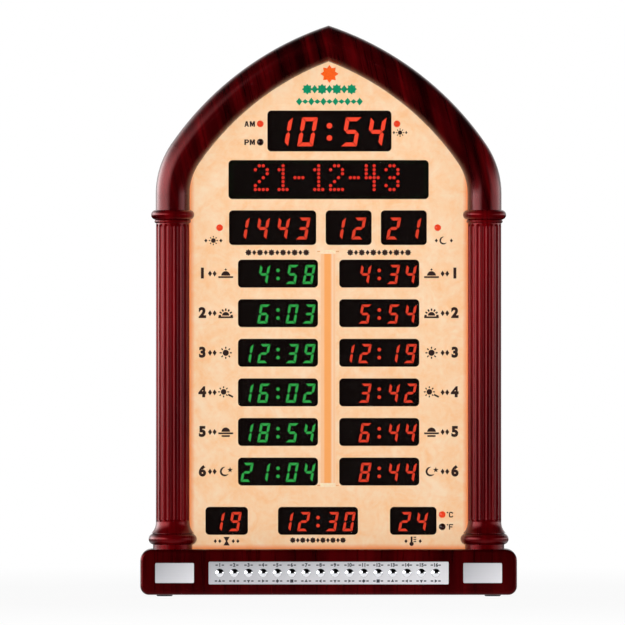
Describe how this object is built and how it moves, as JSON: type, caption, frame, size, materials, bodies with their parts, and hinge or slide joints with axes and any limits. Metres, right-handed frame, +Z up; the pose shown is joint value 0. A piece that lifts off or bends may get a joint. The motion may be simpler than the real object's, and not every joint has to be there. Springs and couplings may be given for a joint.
{
  "type": "azan clock",
  "caption": "Prayer-time clock: pointed arch on fluted half-columns over a plinth with push buttons, and a printed face with LED digits, a dot-matrix line and status lights.",
  "frame": {"origin": "centre of the footprint, level with the bottom of the rubber feet", "axes": "+X to the clock's right seen from the front, the front faces -Y, +Z up"},
  "size_m": [0.28, 0.05, 0.4246],
  "materials": {
    "mahogany": "gloss lacquer over a dark red wood grain",
    "back_plastic": "fine moulded texture",
    "face_print": "satin print, pale peach",
    "smoked_acrylic": "polished, smoked",
    "display_black": "matt black",
    "light_red": "lit red",
    "light_green": "lit green",
    "light_off": "unlit",
    "led_red": "lit red epoxy",
    "led_dark": "unlit red epoxy",
    "circuit_board": "green solder mask",
    "chip_black": "matt black",
    "screw_steel": "plated steel",
    "ribbon_grey": "grey insulation",
    "satin_silver": "brushed silver",
    "button_chrome": "bright chrome plating",
    "foot_rubber": "matt black rubber",
    "jack_black": "black nylon",
    "magnet_iron": "sintered ferrite",
    "cone_paper": "black paper"
  },
  "bodies": {
    "root": {"arch_frame": "mahogany", "left_column": "mahogany", "right_column": "mahogany", "base_housing": "mahogany", "back_cover": "back_plastic", "face_panel": "face_print", "window_filter": "smoked_acrylic", "time_display": "display_black", "matrix_display": "display_black", "date_displays": "display_black", "left_row_displays": "display_black", "right_row_displays": "display_black", "bottom_displays": "display_black", "red_segments": "light_red", "green_segments": "light_green", "dark_segments": "light_off", "matrix_dots_lit": "light_red", "matrix_dots_dark": "light_off", "indicator_leds_lit": "led_red", "indicator_leds_dark": "led_dark", "upper_board": "circuit_board", "lower_board": "circuit_board", "button_board": "circuit_board", "board_chips": "chip_black", "board_capacitors": "chip_black", "tact_switches": "chip_black", "board_screws": "screw_steel", "panel_screws": "screw_steel", "cover_screws": "screw_steel", "button_board_screws": "screw_steel", "column_screws": "screw_steel", "speaker_screws": "screw_steel", "ribbon_cable": "ribbon_grey", "button_plate": "satin_silver", "left_trim_plate": "satin_silver", "right_trim_plate": "satin_silver", "rubber_feet": "foot_rubber", "dc_jack": "jack_black", "coin_cell": "screw_steel", "coin_cell_holder": "jack_black", "speaker_frame": "screw_steel", "speaker_magnet": "magnet_iron", "speaker_cone": "cone_paper"},
    "battery_door": {"battery_door": "back_plastic"},
    "button_01": {"button_01": "button_chrome"},
    "button_02": {"button_02": "button_chrome"},
    "button_03": {"button_03": "button_chrome"},
    "button_04": {"button_04": "button_chrome"},
    "button_05": {"button_05": "button_chrome"},
    "button_06": {"button_06": "button_chrome"},
    "button_07": {"button_07": "button_chrome"},
    "button_08": {"button_08": "button_chrome"},
    "button_09": {"button_09": "button_chrome"},
    "button_10": {"button_10": "button_chrome"},
    "button_11": {"button_11": "button_chrome"},
    "button_12": {"button_12": "button_chrome"},
    "button_13": {"button_13": "button_chrome"},
    "button_14": {"button_14": "button_chrome"},
    "button_15": {"button_15": "button_chrome"},
    "button_16": {"button_16": "button_chrome"}
  },
  "joints": [
    {"name": "button_01_press", "type": "slide", "parent": "root", "child": "button_01", "axis": [0, 1, 0], "range_m": [0, 0.0008], "stiffness_N_per_m": 800, "springref_m": -0.0008},
    {"name": "button_02_press", "type": "slide", "parent": "root", "child": "button_02", "axis": [0, 1, 0], "range_m": [0, 0.0008], "stiffness_N_per_m": 800, "springref_m": -0.0008},
    {"name": "button_03_press", "type": "slide", "parent": "root", "child": "button_03", "axis": [0, 1, 0], "range_m": [0, 0.0008], "stiffness_N_per_m": 800, "springref_m": -0.0008},
    {"name": "button_04_press", "type": "slide", "parent": "root", "child": "button_04", "axis": [0, 1, 0], "range_m": [0, 0.0008], "stiffness_N_per_m": 800, "springref_m": -0.0008},
    {"name": "button_05_press", "type": "slide", "parent": "root", "child": "button_05", "axis": [0, 1, 0], "range_m": [0, 0.0008], "stiffness_N_per_m": 800, "springref_m": -0.0008},
    {"name": "button_06_press", "type": "slide", "parent": "root", "child": "button_06", "axis": [0, 1, 0], "range_m": [0, 0.0008], "stiffness_N_per_m": 800, "springref_m": -0.0008},
    {"name": "button_07_press", "type": "slide", "parent": "root", "child": "button_07", "axis": [0, 1, 0], "range_m": [0, 0.0008], "stiffness_N_per_m": 800, "springref_m": -0.0008},
    {"name": "button_08_press", "type": "slide", "parent": "root", "child": "button_08", "axis": [0, 1, 0], "range_m": [0, 0.0008], "stiffness_N_per_m": 800, "springref_m": -0.0008},
    {"name": "button_09_press", "type": "slide", "parent": "root", "child": "button_09", "axis": [0, 1, 0], "range_m": [0, 0.0008], "stiffness_N_per_m": 800, "springref_m": -0.0008},
    {"name": "button_10_press", "type": "slide", "parent": "root", "child": "button_10", "axis": [0, 1, 0], "range_m": [0, 0.0008], "stiffness_N_per_m": 800, "springref_m": -0.0008},
    {"name": "button_11_press", "type": "slide", "parent": "root", "child": "button_11", "axis": [0, 1, 0], "range_m": [0, 0.0008], "stiffness_N_per_m": 800, "springref_m": -0.0008},
    {"name": "button_12_press", "type": "slide", "parent": "root", "child": "button_12", "axis": [0, 1, 0], "range_m": [0, 0.0008], "stiffness_N_per_m": 800, "springref_m": -0.0008},
    {"name": "button_13_press", "type": "slide", "parent": "root", "child": "button_13", "axis": [0, 1, 0], "range_m": [0, 0.0008], "stiffness_N_per_m": 800, "springref_m": -0.0008},
    {"name": "button_14_press", "type": "slide", "parent": "root", "child": "button_14", "axis": [0, 1, 0], "range_m": [0, 0.0008], "stiffness_N_per_m": 800, "springref_m": -0.0008},
    {"name": "button_15_press", "type": "slide", "parent": "root", "child": "button_15", "axis": [0, 1, 0], "range_m": [0, 0.0008], "stiffness_N_per_m": 800, "springref_m": -0.0008},
    {"name": "button_16_press", "type": "slide", "parent": "root", "child": "button_16", "axis": [0, 1, 0], "range_m": [0, 0.0008], "stiffness_N_per_m": 800, "springref_m": -0.0008},
    {"name": "battery_door_hinge", "type": "hinge", "parent": "root", "child": "battery_door", "pos_m": [-0.062, 0.025, 0.15], "axis": [-1, 0, 0], "range_deg": [0, 75]}
  ]
}
